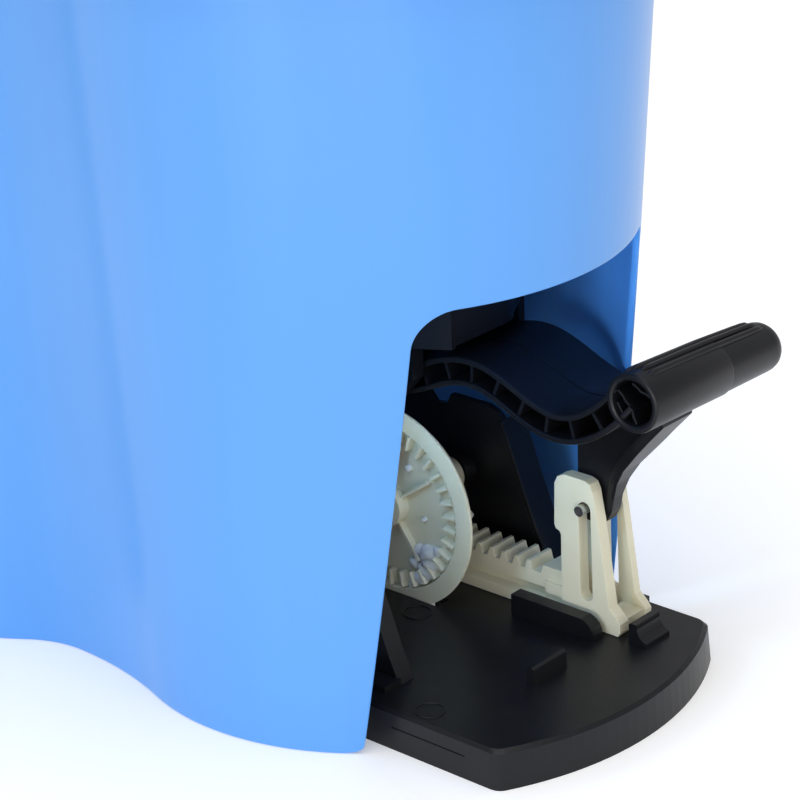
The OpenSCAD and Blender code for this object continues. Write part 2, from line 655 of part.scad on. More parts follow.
// Sintered bushing at the bottom of the tower.
module lower_bushing() {
    color([0.78, 0.6, 0.32]) translate([0, 0, 105.5]) difference() {
        cylinder(h = 8.5, r = 7.98, $fn = fn_mid);
        translate([0, 0, -1]) cylinder(h = 12, r = shaft_diameter / 2 + 0.06, $fn = fn_mid);
    }
}

// Sintered bushing at the top of the tower.
module upper_bushing() {
    color([0.78, 0.6, 0.32]) translate([0, 0, spin_floor - 14]) difference() {
        cylinder(h = 9, r = 7.98, $fn = fn_mid);
        translate([0, 0, -1]) cylinder(h = 12, r = shaft_diameter / 2 + 0.06, $fn = fn_mid);
    }
}

// Rubber lip seal in the spin floor's boss.
module shaft_seal() {
    z0 = spin_floor + wall + 4;
    rs = shaft_diameter / 2 + 0.05;
    color([0.08, 0.08, 0.08]) translate([0, 0, z0]) rotate_extrude($fn = fn_mid)
        polygon([[rs, 1], [rs, 2.4], [8, 4], [8, 7.6], [10.98, 7.6], [10.98, 0], [8, 0]]);
}

// Inner race of the one-way clutch, keyed to the shaft's flat.
module clutch_hub() {
    color([0.62, 0.63, 0.66]) translate([0, 0, cap_z - 21]) difference() {
        cylinder(h = 14, r = 10, $fn = fn_mid);
        translate([0, 0, -1]) intersection() {
            cylinder(h = 20, r = shaft_diameter / 2 + 0.03, $fn = fn_mid);
            translate([-10, -10, 0]) cube([20, 10 + shaft_diameter / 2 - 1, 20]);
        }
        for (a = [0:60:300]) rotate([0, 0, a]) translate([0, 0, -1]) linear_extrude(20)
            polygon([[9.05, -2.2], [12, -2.6], [12, 2.6], [9.3, 2.2]]);
    }
}

// Six rollers that lock one way between the clutch's races.
module clutch_rollers() {
    color([0.75, 0.76, 0.78]) translate([0, 0, cap_z - 20.5])
        for (a = [0:60:300]) rotate([0, 0, a]) translate([11.5, 0, 0])
            cylinder(h = 13, r = 2, $fn = fn_small);
}

// Outer race of the one-way clutch, pressed into the basket's hub.
module clutch_ring() {
    color([0.62, 0.63, 0.66]) translate([0, 0, cap_z - 21]) difference() {
        cylinder(h = 14, r = 18, $fn = fn_mid);
        translate([0, 0, -1]) cylinder(h = 20, r = 13.56, $fn = fn_mid);
    }
}

// Washer and screw that hold the clutch on the shaft.
module shaft_screw() {
    color([0.7, 0.71, 0.74]) union() {
        translate([0, 0, cap_z - 6.98]) cylinder(h = 1, r = 8, $fn = fn_mid);
        translate([0, 0, cap_z - 6]) cylinder(h = 3.4, r = 4, $fn = 6);
        translate([0, 0, cap_z - 13]) cylinder(h = 7, r = 2, $fn = 24);
    }
}

// Basket: perforated drum with a hub that houses the one-way clutch.
module basket() {
    zb = cap_z - 23;
    rb = basket_radius - 9;
    hb = basket_top - zb;
    color([0.86, 0.88, 0.9]) difference() {
        union() {
            rotate_extrude($fn = fn_big) polygon([[18, zb], [rb - 4, zb], [rb, zb + 4],
                [basket_radius, basket_top - 3], [basket_radius + 4, basket_top - 3],
                [basket_radius + 4, basket_top],
                [basket_radius - 2.6, basket_top], [rb - 2.8, zb + 4], [rb - 5, zb + 2.8], [22, zb + 2.8],
                [22, zb + 20], [18, zb + 20]]);
            for (a = [0:60:300]) rotate([0, 0, a]) box([21, -1.2, zb + 1], [34, 1.2, zb + 9]);
        }
        for (i = [0:basket_slots - 1]) rotate([0, 0, 360 / basket_slots * i]) {
            box([rb - 12, -2.5, zb + 12], [rb + 14, 2.5, zb + hb * 0.46]);
            box([rb - 12, -2.5, zb + hb * 0.54], [rb + 18, 2.5, basket_top - 14]);
        }
        for (i = [0:11]) rotate([0, 0, 30 * i + 15]) {
            box([40, -2.5, zb - 1], [56, 2.5, zb + 5]);
            box([62, -2.5, zb - 1], [78, 2.5, zb + 5]);
        }
    }
}

// Domed cap over the clutch, pressed on the basket's hub.
module hub_cap() {
    z0 = cap_z - 3;
    color([0.86, 0.88, 0.9]) rotate_extrude($fn = fn_mid)
        polygon([[22.03, z0 - 8], [24.4, z0 - 8], [24.4, z0 + 1], [23, z0 + 6], [18, z0 + 11],
            [10, z0 + 14], [0, z0 + 15], [0, z0 + 12.6], [9, z0 + 11.6], [17, z0 + 8.6],
            [20.4, z0 + 5], [20.4, z0 + 0.03],
            [22.03, z0 + 0.03]]);
}

// Steel pivot shaft of the pedal.
module pivot_shaft() {
    color([0.72, 0.73, 0.75]) difference() {
        ycyl(pivot_x, pivot_z, 10.6, 83, 4, 48);
        difference() {
            ycyl(pivot_x, pivot_z, 80, 81, 6, 36);
            ycyl(pivot_x, pivot_z, 79, 82, 3.2, 36);
        }
    }
}

// Snap ring at the far end of the pivot shaft.
module pivot_clip() {
    color([0.3, 0.3, 0.32]) translate([pivot_x, 80.1, pivot_z]) rotate([-90, 0, 0]) clip(3.23, 7, 0.8);
}

// Compression spring that pushes the rack and the pedal back out.
module return_spring() {
    x0 = -63.9;
    x1 = -15.1;
    turns = 9;
    r = 5;
    rw = 0.8;
    n = turns * 14;
    k = 8;
    lead = (x1 - x0 - 2 * rw) / turns;
    pts = [for (i = [0:n], j = [0:k - 1]) let (a = i / 14 * 360, b = j / k * 360, q = r + rw * cos(b))
        [x0 + rw + lead * i / 14 + rw * sin(b), fork_near + 11 + q * cos(a), deck + 8.5 + q * sin(a)]];
    sides = [for (i = [0:n - 1], j = [0:k - 1]) let (a = i * k, b = (j + 1) % k)
        [a + j, a + b, a + k + b, a + k + j]];
    color([0.6, 0.61, 0.63]) polyhedron(points = pts, convexity = 10,
        faces = concat([[for (j = [k - 1:-1:0]) j]], [[for (j = [0:k - 1]) n * k + j]], sides));
}

// Self-tapping screws that hold the base plate to the side plates' feet and the bucket.
module base_screws() {
    color([0.66, 0.67, 0.7]) for (p = foot_screw)
        translate([p[0], p[1], deck + 3]) rotate([180, 0, 0]) screw(3.2, 8, 7, 2.2);
}

// Screws that hold the upper case to the bucket's floor bosses.
module case_screws() {
    color([0.66, 0.67, 0.7]) for (p = floor_boss)
        translate([p[0], p[1], spin_floor - 8]) screw(3.2, 8.5, 7.5, 2.4);
}

// Screws that join the side plates to the upper case.
module side_screws() {
    color([0.66, 0.67, 0.7]) {
        for (x = [-38, 14]) translate([x, -53, 145]) rotate([-90, 0, 0]) screw(2.9, 11, 7, 2.2);
        translate([-35, fork_far + 6.5, 144]) rotate([90, 0, 0]) screw(2.9, 8, 7, 2.2);
    }
}

// Bail carry handle, folded back over the washing lobe.
module carry_handle() {
    w = lip_half + 7.5;
    x1 = waist_x - handle_reach;
    strap = [[waist_x, w - 6.5], [waist_x, w], [waist_x - 20, w], [x1 + 40, 74], [x1 - 5, 58], [x1 - 5, 48],
        [x1 + 5, 48], [x1 + 5, 54], [x1 + 42, 67.5], [waist_x - 24, w - 6.5]];
    color([0.16, 0.36, 0.62]) difference() {
        union() {
            for (s = [-1, 1]) {
                translate([0, 0, hinge_z - 3]) linear_extrude(6)
                    polygon([for (p = strap) [p[0], s * p[1]]]);
                ycyl(waist_x, hinge_z, s > 0 ? w - 6.5 : -w, s > 0 ? w : -w + 6.5, 7, 48);
            }
            ycyl(x1, hinge_z, -58, 58, 5, 36);
        }
        for (s = [-1, 1]) ycyl(waist_x, hinge_z, s > 0 ? w - 8 : -w - 1, s > 0 ? w + 1 : -w + 8, 3.08, 36);
    }
}

// Tubular grip around the handle's cross bar.
module handle_grip() {
    color([0.92, 0.93, 0.94]) difference() {
        union() {
            ycyl(waist_x - handle_reach, hinge_z, -45, 45, grip_radius, 64);
            for (y = [-47.5, 44.99])
                ycyl(waist_x - handle_reach, hinge_z, y, y + 2.51, grip_radius + 1.2, 64);
        }
        ycyl(waist_x - handle_reach, hinge_z, -50, 50, 5.02, 36);
    }
}

// Two hinge pins of the carry handle.
module handle_pins() {
    w = lip_half + 7.5;
    color([0.16, 0.36, 0.62]) for (s = [-1, 1]) {
        ycyl(waist_x, hinge_z, s > 0 ? lip_half - 8.5 : -w - 0.4, s > 0 ? w + 0.4 : -lip_half + 8.5, 3, 36);
        ycyl(waist_x, hinge_z, s > 0 ? w + 0.35 : -w - 2.4, s > 0 ? w + 2.4 : -w - 0.35, 5, 36);
    }
}

bucket();
base_plate();
near_side_plate();
far_side_plate();
upper_case();
pedal();
drive_pin();
rack_fork();
crown_gear();
gear_axle();
axle_clips();
axle_bushings();
shaft_pinion();
drive_shaft();
shaft_clip();
lower_bushing();
upper_bushing();
shaft_seal();
clutch_hub();
clutch_rollers();
clutch_ring();
shaft_screw();
basket();
hub_cap();
pivot_shaft();
pivot_clip();
return_spring();
base_screws();
case_screws();
side_screws();
carry_handle();
handle_grip();
handle_pins();
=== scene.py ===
"""Spin mop bucket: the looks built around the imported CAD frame. Lengths in the tables are millimetres."""

import bpy
import bmesh
import math
import numpy as np
from mathutils import Matrix, Vector


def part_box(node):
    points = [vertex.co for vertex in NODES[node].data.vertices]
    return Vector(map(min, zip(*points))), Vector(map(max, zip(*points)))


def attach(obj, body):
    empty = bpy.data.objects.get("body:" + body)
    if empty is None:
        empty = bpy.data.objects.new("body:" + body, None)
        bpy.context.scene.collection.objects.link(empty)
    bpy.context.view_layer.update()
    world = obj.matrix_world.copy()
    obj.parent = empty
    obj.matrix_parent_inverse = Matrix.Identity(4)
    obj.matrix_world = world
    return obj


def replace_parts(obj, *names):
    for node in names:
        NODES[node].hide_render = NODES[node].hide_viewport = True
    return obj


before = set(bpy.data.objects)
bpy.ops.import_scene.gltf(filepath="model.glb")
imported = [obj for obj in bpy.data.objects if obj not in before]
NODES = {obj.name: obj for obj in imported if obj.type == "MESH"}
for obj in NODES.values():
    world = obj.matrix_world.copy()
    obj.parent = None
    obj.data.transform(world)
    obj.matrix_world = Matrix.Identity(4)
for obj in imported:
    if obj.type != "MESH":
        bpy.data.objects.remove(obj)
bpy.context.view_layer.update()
scene = bpy.context.scene
MM = 0.001

# ------------------------------------------------------------------ the bucket's measures, as in the CAD
SPIN_R = 105.0
WASH_R = 120.0
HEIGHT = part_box("bucket")[1].z / MM - 14.0
DRAFT = 0.052
WALL = 3.0
WAIST_HALF = 90.0
SPIN_FLOOR = 193.0
WASH_FLOOR = 12.0
RIM = 9.0
OPEN_LOW = 81.0
OPEN_TOP = 70.0
OPEN_H = 190.0
OPEN_CORNER = 15.0
FILLET_A = 172.0
FILLET_B = 48.0
WAIST_X = -92.0
EAR_R = 7.0
HINGE_Z = HEIGHT + EAR_R
WASH_X = WAIST_X - math.sqrt((WASH_R + FILLET_B) ** 2 - (WAIST_HALF + FILLET_B) ** 2)
SPIN_AX = -math.sqrt((SPIN_R + FILLET_A) ** 2 - (WAIST_HALF + FILLET_A) ** 2)
ANG_A = math.atan2(WAIST_HALF + FILLET_A, -SPIN_AX)
ANG_B = math.atan2(WAIST_HALF + FILLET_B, WAIST_X - WASH_X)
LIP_HALF = WAIST_HALF + DRAFT * HEIGHT + RIM
FLOOR_BOSS = [(-36, -40), (-36, 66), (16, 62), (13, -40)]


# ------------------------------------------------------------------ mesh helpers
def add_mesh(name, verts, faces, smooth_angle=35.0):
    """A new object from millimetre points, shaded smooth except across sharp edges."""
    mesh = bpy.data.meshes.new(name)
    mesh.from_pydata([tuple(float(c) * MM for c in v) for v in verts], [], faces)
    mesh.validate()
    bm = bmesh.new()
    bm.from_mesh(mesh)
    bmesh.ops.remove_doubles(bm, verts=bm.verts, dist=1e-7)
    bmesh.ops.recalc_face_normals(bm, faces=bm.faces)
    bm.to_mesh(mesh)
    bm.free()
    shade(mesh, smooth_angle)
    obj = bpy.data.objects.new(name, mesh)
    scene.collection.objects.link(obj)
    return obj


def shade(mesh, angle):
    """Smooth shading with edges sharper than angle kept crisp."""
    mesh.polygons.foreach_set("use_smooth", [True] * len(mesh.polygons))
    mesh.set_sharp_from_angle(angle=math.radians(angle))
    mesh.update()


def loft_faces(rows, cols, close_rows=False, close_cols=True):
    """Quads of a grid whose rows are loops of points."""
    faces = []
    for i in range(rows if close_rows else rows - 1):
        a, b = i * cols, ((i + 1) % rows) * cols
        for j in range(cols if close_cols else cols - 1):
            k = (j + 1) % cols
            faces.append((a + j, a + k, b + k, b + j))
    return faces


def tube_faces(rows, cols):
    """Quads of a grid of closed loops, with a cap on its first and on its last loop."""
    caps = [tuple(range(cols))[::-1], tuple(range((rows - 1) * cols, rows * cols))]
    return loft_faces(rows, cols) + caps


def lathe(profile, segments, centre=(0, 0), a0=0.0, a1=360.0):
    """Closed profile of (radius, height) turned about a vertical axis; a part turn gets end caps."""
    full = abs(a1 - a0 - 360) < 1e-6
    n = segments if full else segments + 1
    verts = []
    for j in range(n):
        a = math.radians(a0 + (a1 - a0) * j / segments)
        verts += [(centre[0] + r * math.cos(a), centre[1] + r * math.sin(a), z) for r, z in profile]
    m = len(profile)
    faces = loft_faces(n, m, close_rows=full, close_cols=True)
    if not full:
        faces += [tuple(range(m)), tuple(range((n - 1) * m, n * m))[::-1]]
    return verts, faces


def rounded(points, radius, steps=4):
    """A closed 2-D polygon with its corners rounded; radius is one number or one per corner."""
    out, n = [], len(points)
    for i in range(n):
        r = radius[i] if isinstance(radius, (list, tuple)) else radius
        p = Vector(points[i])
        a, b = Vector(points[i - 1]) - p, Vector(points[(i + 1) % n]) - p
        half = a.angle(b) / 2
        if r <= 0 or abs(half - math.pi / 2) < 0.02:
            out.append(tuple(p))
            continue
        t = min(r / math.tan(half), a.length * 0.49, b.length * 0.49)
        start, end = p + a.normalized() * t, p + b.normalized() * t
        for k in range(steps + 1):
            u = k / steps
            out.append(tuple(start * (1 - u) ** 2 + p * 2 * u * (1 - u) + end * u * u))
    return out


def join(parts):
    """One mesh from several (verts, faces) pairs."""
    verts, faces = [], []
    for v, f in parts:
        base = len(verts)
        verts += list(v)
        faces += [tuple(base + i for i in face) for face in f]
    return verts, faces


# ------------------------------------------------------------------ materials
def material(name, build):
    """A new material whose Principled shader is filled in by build."""
    mat = bpy.data.materials.new(name)
    mat.use_nodes = True
    tree = mat.node_tree
    tree.nodes.clear()
    out = tree.nodes.new("ShaderNodeOutputMaterial")
    bsdf = tree.nodes.new("ShaderNodeBsdfPrincipled")
    tree.links.new(bsdf.outputs[0], out.inputs[0])
    coords = tree.nodes.new("ShaderNodeTexCoord")
    build(tree, bsdf, coords.outputs["Object"])
    return mat


def noise(tree, vector, scale, detail=2.0, rough=0.5, stretch=None):
    """Value of a noise texture, drawn out along the axes by stretch."""
    if stretch is not None:
        mapping = tree.nodes.new("ShaderNodeMapping")
        mapping.inputs["Scale"].default_value = stretch
        tree.links.new(vector, mapping.inputs[0])
        vector = mapping.outputs[0]
    node = tree.nodes.new("ShaderNodeTexNoise")
    node.inputs["Scale"].default_value = scale
    node.inputs["Detail"].default_value = detail
    node.inputs["Roughness"].default_value = rough
    tree.links.new(vector, node.inputs["Vector"])
    return node.outputs["Fac"]


def spread(tree, value, low, high, start=0.3, end=0.7):
    """Value mapped from start..end to low..high."""
    node = tree.nodes.new("ShaderNodeMapRange")
    for key, v in (("From Min", start), ("From Max", end), ("To Min", low), ("To Max", high)):
        node.inputs[key].default_value = v
    tree.links.new(value, node.inputs["Value"])
    return node.outputs["Result"]


def blend_colour(tree, factor, dark, light):
    """Colour between dark and light."""
    node = tree.nodes.new("ShaderNodeMix")
    node.data_type = "RGBA"
    node.inputs["A"].default_value = (*dark, 1)
    node.inputs["B"].default_value = (*light, 1)
    tree.links.new(factor, node.inputs["Factor"])
    return node.outputs["Result"]


def bump(tree, bsdf, height, strength, distance, chain=None):
    """Bumps the shader's normal by height, on top of the bump named by chain."""
    node = tree.nodes.new("ShaderNodeBump")
    node.inputs["Strength"].default_value = strength
    node.inputs["Distance"].default_value = distance
    tree.links.new(height, node.inputs["Height"])
    if chain is not None:
        tree.links.new(chain, node.inputs["Normal"])
    tree.links.new(node.outputs[0], bsdf.inputs["Normal"])
    return node.outputs[0]


SCATTER = (0.004, 0.004, 0.003)


def plastic(dark, light, roughness, grain=900.0, grain_strength=0.12, waves=0.0, tint_scale=14.0,
            gloss_scale=55.0, subsurface=0.0, specular=0.5, streaks=0.0):
    """Moulded plastic: slow colour drift, uneven gloss, fine surface grain and slow sink waves."""
    def build(tree, bsdf, vec):
        drift = noise(tree, vec, tint_scale, 1.5)
        if streaks:
            lines = noise(tree, vec, 60.0, 3.0, stretch=(1.0, 1.0, 0.04))
            add = tree.nodes.new("ShaderNodeMath")
            add.operation = "MULTIPLY_ADD"
            add.inputs[1].default_value = streaks
            tree.links.new(lines, add.inputs[0])
            tree.links.new(drift, add.inputs[2])
            drift = add.outputs[0]
        tint = spread(tree, drift, 0, 1, 0.0, 1.0 + streaks)
        tree.links.new(blend_colour(tree, tint, dark, light), bsdf.inputs["Base Color"])
        gloss = noise(tree, vec, gloss_scale, 2.0, 0.5)
        rough = spread(tree, gloss, roughness[0], roughness[1], 0.0, 1.0)
        tree.links.new(rough, bsdf.inputs["Roughness"])
        bsdf.inputs["Specular IOR Level"].default_value = specular
        bsdf.inputs["Subsurface Weight"].default_value = subsurface
        bsdf.inputs["Subsurface Radius"].default_value = SCATTER
        bsdf.inputs["Subsurface Scale"].default_value = 1.0
        chain = None
        if waves:
            chain = bump(tree, bsdf, noise(tree, vec, 9.0, 1.0), 1.0, waves)
        bump(tree, bsdf, noise(tree, vec, grain, 2.0), grain_strength, 0.0002, chain)
    return build


def metal(colour, roughness, brushed=(1.0, 1.0, 1.0)):
    """Plated steel with fine turning marks and uneven gloss."""
    def build(tree, bsdf, vec):
        tone = noise(tree, vec, 90.0, 3.0, stretch=brushed)
        darker = tuple(c * 0.82 for c in colour)
        tint = blend_colour(tree, spread(tree, tone, 0, 1), darker, colour)
        tree.links.new(tint, bsdf.inputs["Base Color"])
        gloss = noise(tree, vec, 400.0, 2.0, stretch=brushed)
        tree.links.new(spread(tree, gloss, *roughness), bsdf.inputs["Roughness"])
        bsdf.inputs["Metallic"].default_value = 1.0
        bump(tree, bsdf, noise(tree, vec, 1500.0, 2.0, stretch=brushed), 0.15, 0.0001)
    return build


RECIPES = {
    "bucket_blue": plastic((0.080, 0.290, 0.720), (0.118, 0.370, 0.860), (0.26, 0.32), tint_scale=5.0,
                           gloss_scale=9.0, streaks=0.35, grain_strength=0.03),
    "black_plastic": plastic((0.0050, 0.0053, 0.0070), (0.0085, 0.0090, 0.0115), (0.28, 0.42),
                             specular=0.28, grain=1400.0, grain_strength=0.25, tint_scale=30.0),
    "case_plastic": plastic((0.0022, 0.0028, 0.0050), (0.0045, 0.0055, 0.0085), (0.34, 0.5),
                            specular=0.2, grain=1400.0, grain_strength=0.25, tint_scale=30.0),
    "ivory_plastic": plastic((0.700, 0.670, 0.500), (0.780, 0.745, 0.585), (0.34, 0.48),
                             grain_strength=0.15, tint_scale=40.0, subsurface=0.35),
    "steel": metal((0.62, 0.63, 0.65), (0.25, 0.42), (1.0, 8.0, 1.0)),
    "bushing_bronze": metal((0.62, 0.42, 0.18), (0.4, 0.6)),
    "seal_rubber": plastic((0.012, 0.012, 0.012), (0.02, 0.02, 0.02), (0.6, 0.75)),
    "basket_plastic": plastic((0.72, 0.74, 0.77), (0.80, 0.82, 0.84), (0.28, 0.4), waves=0.0001),
    "handle_blue": plastic((0.020, 0.095, 0.330), (0.028, 0.115, 0.380), (0.28, 0.4), grain=1200.0),
    "grip_plastic": plastic((0.78, 0.79, 0.80), (0.84, 0.85, 0.86), (0.35, 0.5)),
    "grease": plastic((0.72, 0.75, 0.74), (0.86, 0.88, 0.86), (0.12, 0.25), grain=500.0,
                      grain_strength=0.15, tint_scale=150.0, subsurface=0.6, specular=0.6),
}
MATERIALS = {name: material(name, build) for name, build in RECIPES.items()}


def place(obj, body, slot, mat=None):
    """Puts a piece on a body and gives it one material: mat, or the material named slot when mat is not
    given.
    """
    obj.data.materials.clear()
    obj.data.materials.append(MATERIALS[mat or slot])
    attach(obj, body)
    return obj


# ------------------------------------------------------------------ bucket
def wall_arcs():
    """Arcs of the outline's near half: centre, radius, +1 for a lobe or -1 for the waist's hollow,
    and the first and last angle of the normal."""
    return [
        ((0.0, 0.0), SPIN_R, 1, 0.0, math.pi - ANG_A),
        ((SPIN_AX, -(WAIST_HALF + FILLET_A)), FILLET_A, -1, ANG_A, math.pi / 2),
        ((SPIN_AX, -(WAIST_HALF + FILLET_B)), FILLET_B, -1, math.pi / 2, math.pi - ANG_B),
        ((SPIN_AX - (WAIST_X - WASH_X), 0.0), WASH_R, 1, ANG_B, math.pi),
    ]


def opening_edge():
    """Half of the opening's edge, from the middle of its top down to its foot. Each point is y, z and the
    direction in y and z that leads out of the wall there."""
    half = []
    slope = math.atan((OPEN_LOW - OPEN_TOP) / OPEN_H)
    c = OPEN_CORNER
    yc = OPEN_TOP + c * math.tan(slope) - c / math.cos(slope)
    foot_r = 4.0
    for k in range(20):
        half.append(((k / 20) * yc, OPEN_H, 0.0, -1.0))
    for k in range(13):
        a = math.pi / 2 - (math.pi / 2 - slope) * k / 12
        half.append((yc + c * math.cos(a), OPEN_H - c + c * math.sin(a), -math.cos(a), -math.sin(a)))
    y1, z1 = half[-1][0], half[-1][1]
    tx, tz = math.sin(slope), -math.cos(slope)
    length = (z1 - foot_r) / math.cos(slope)
    for k in range(1, 27):
        s = length * k / 26
        half.append((y1 + tx * s, z1 + tz * s, -math.cos(slope), -math.sin(slope)))
    y2, z2 = half[-1][0], half[-1][1]
    for k in range(1, 7):
        a = slope + (math.pi / 2 - slope) * k / 6
        across = foot_r * (math.cos(slope) - math.cos(a))
        down = foot_r * (math.sin(a) - math.sin(slope))
        half.append((y2 + across, z2 - down, -math.cos(a), -math.sin(a)))
    return half


def wall_point(col, d, z):
    """Point at height z on a column of the wall, at offset d from the outside."""
    centre, radius, sign, angle, side = col
    r = radius + sign * (d + DRAFT * z)
    across = sign * r * math.sin(angle)
    return (centre[0] + r * math.cos(angle), (centre[1] - across) * -side, z)


def front_point(y, z, d):
    """Point of the spin lobe's wall above y, z at offset d."""
    r = SPIN_R + d + DRAFT * z
    return (math.sqrt(r * r - y * y), y, z)


def wall_shell():
    """Closed shell of the wall with its rim, lip and rounded edges."""
    edge = opening_edge()
    y_foot = edge[-1][0]
    back = []
    arcs = wall_arcs()
    foot_angle = math.asin(y_foot / SPIN_R)
    spans = [(arcs[0], foot_angle, arcs[0][4], 44), (arcs[1], arcs[1][3], arcs[1][4], 14),
             (arcs[2], arcs[2][3], arcs[2][4], 12), (arcs[3], arcs[3][3], arcs[3][4], 90)]
    for (centre, radius, sign, _, _), a0, a1, n in spans:
        for k in range(1, n + 1):
            back.append((centre, radius, sign, a0 + (a1 - a0) * k / n))
    back = back[:-1]
    tail = (arcs[3][0], arcs[3][1], arcs[3][2], math.pi)
    # rows go from the outer foot up, over the rim, down inside and round the foot, whose edges have
    # radius e: a wall row is (offset, share of the height, top), and a rim or foot row is (offset, z)
    e = 1.1
    rows = []
    n_out, n_in = 56, 30
    top_out = HEIGHT - 4.0
    for k in range(n_out + 1):
        rows.append(("wall", 0.0, k / n_out, top_out - 1.5))
    lip_in, lip_out, lip_low = RIM - WALL, RIM, HEIGHT - 14.0
    rim = [(0.4, top_out - 0.5), (1.4, top_out), (lip_in - 1.4, top_out), (lip_in - 0.4, top_out - 0.4),
           (lip_in, top_out - 1.4), (lip_in, lip_low + 1.2), (lip_in + 0.3, lip_low + 0.4),
           (lip_in + 1.0, lip_low), (lip_out - 1.0, lip_low), (lip_out - 0.3, lip_low + 0.3),
           (lip_out, lip_low + 1.0), (lip_out, HEIGHT - 2.0), (lip_out - 0.2, HEIGHT - 1.2),
           (lip_out - 0.8, HEIGHT - 0.4), (lip_out - 1.8, HEIGHT), (-WALL + 1.6, HEIGHT),
           (-WALL + 0.7, HEIGHT - 0.3), (-WALL + 0.15, HEIGHT - 0.9)]
    for d, z in rim:
        rows.append(("rim", d, z))
    for k in range(n_in + 1):
        rows.append(("wall", -WALL, 1 - k / n_in, HEIGHT - 2.0))
    for k in range(1, 4):
        a = math.pi / 2 * k / 4
        rows.append(("foot", -WALL + e * (1 - math.cos(a)), e * (1 - math.sin(a))))
    rows.append(("foot", -WALL + e, 0.0))
    rows.append(("foot", -e, 0.0))
    for k in range(3, 0, -1):
        a = math.pi / 2 * k / 4
        rows.append(("foot", -e * (1 - math.cos(a)), e * (1 - math.sin(a))))

    def front(row, y, z, ty, tz, side):
        if row[0] == "foot":
            p = front_point(y - ty * row[2], z - tz * row[2], row[1])
        else:
            y0, z0 = y - ty * e, z - tz * e
            phi_out = math.asin(y0 / (SPIN_R + DRAFT * z0))
            phi_in = math.asin(y0 / (SPIN_R - WALL + DRAFT * z0))
            if row[0] == "wall":
                zz = z0 + (row[3] - z0) * row[2]
                phi = phi_out if row[1] == 0 else phi_in + (phi_out - phi_in) * row[2]
            else:
                zz, phi = row[2], phi_out
            r = SPIN_R + row[1] + DRAFT * zz
            p = (r * math.cos(phi), r * math.sin(phi), zz)
        return (p[0], p[1] * side, p[2])

    def rear(row, col, side):
        if row[0] == "foot":
            return wall_point((*col, side), row[1], row[2])
        if row[0] == "wall":
            return wall_point((*col, side), row[1], e + (row[3] - e) * row[2])
        return wall_point((*col, side), row[1], row[2])

    verts = []
    for row in rows:
        ring = [front(row, *c, -1) for c in edge]
        ring += [rear(row, c, -1) for c in back]
        ring.append(rear(row, tail, -1))
        ring += [rear(row, c, 1) for c in reversed(back)]
        ring += [front(row, *c, 1) for c in reversed(edge[1:])]
        verts += ring
    cols = len(verts) // len(rows)
    return verts, loft_faces(len(rows), cols, close_rows=True, close_cols=True)


def spin_floor():
    """Raised floor under the basket with its bearing boss, as a turned solid."""
    r = SPIN_R - WALL + DRAFT * SPIN_FLOOR
    top = SPIN_FLOOR + WALL
    profile = [(6.5, SPIN_FLOOR), (r + 1.5, SPIN_FLOOR), (r + 1.6, top), (r - 2.5, top),
               (r - 3.5, top + 0.01),
               (18.5, top), (16.9, top + 0.5), (16.0, top + 2.0), (16.0, top + 11.0), (15.0, top + 12.0),
               (11.6, top + 12.0), (11.0, top + 11.4), (11.0, top + 4.0), (6.5, top + 4.0)]
    parts = [lathe(profile, 144)]
    low, high = SPIN_FLOOR - 5, SPIN_FLOOR + 1
    boss = [(1.62, low), (4.6, low), (5.0, SPIN_FLOOR - 4.6), (5.0, high), (1.62, high)]
    parts += [lathe(boss, 36, centre) for centre in FLOOR_BOSS]
    return join(parts)


def partition():
    """Curved wall between the drive's hollow and the wash lobe."""
    top = SPIN_FLOOR + WALL - 0.5
    foot = SPIN_R
    profile = [(foot - WALL + 0.8, 0.0), (foot - 0.8, 0.0), (foot, 0.8), (foot + DRAFT * top, top),
               (foot - WALL + DRAFT * top, top), (foot - WALL, 0.8)]
    a = math.degrees(math.pi - ANG_A) + 0.6
    return lathe(profile, 72, (0, 0), a, 360 - a)


def wash_floor():
    """Floor plate of the wash lobe, following the wall and the partition."""
    def loop(z):
        pts = []
        inset = -WALL + 1.2
        for centre, radius, sign, a0, a1 in wall_arcs()[1:]:
            n = 60 if sign > 0 else 12
            for k in range(n + 1):
                pts.append(wall_point((centre, radius, sign, a0 + (a1 - a0) * k / n, -1), inset, z))
        r = SPIN_R + DRAFT * z - 1.0
        pts = [p for p in pts if math.hypot(p[0], p[1]) > r + 0.5]
        mirror = [(p[0], -p[1], p[2]) for p in reversed(pts[:-1])]
        a0 = math.atan2(mirror[-1][1], mirror[-1][0])
        arc = [(r * math.cos(a), r * math.sin(a), z) for a in np.linspace(a0, 2 * math.pi - a0, 41)]
        return pts + mirror + arc
    low, high = loop(WASH_FLOOR), loop(WASH_FLOOR + WALL)
    return low + high, tube_faces(2, len(low))


def prism(points, depth0, depth1):
    """Solid from a 2-D polygon in x and z, reaching from depth0 to depth1 along y."""
    n = len(points)
    verts = [(p[0], depth0, p[1]) for p in points] + [(p[0], depth1, p[1]) for p in points]
    faces = [tuple(range(n))[::-1], tuple(range(n, 2 * n))]
    faces += [(i, (i + 1) % n, n + (i + 1) % n, n + i) for i in range(n)]
    return verts, faces


def hinge_ears():
    """The two upright ears that hold the carry handle's pins."""
    parts = []
    for side in (-1, 1):
        y0, y1 = side * LIP_HALF, side * (LIP_HALF - 8)
        angles = np.linspace(0.25, math.pi - 0.25, 15)
        arc = [(WAIST_X + EAR_R * math.cos(a), HINGE_Z + EAR_R * math.sin(a)) for a in angles]
        outline = arc + [(WAIST_X - 10, HEIGHT + 0.8), (WAIST_X - 11, HEIGHT - 0.5),
                         (WAIST_X + 11, HEIGHT - 0.5), (WAIST_X + 10, HEIGHT + 0.8)]
        parts.append(prism(outline, min(y0, y1), max(y0, y1)))
    return join(parts)


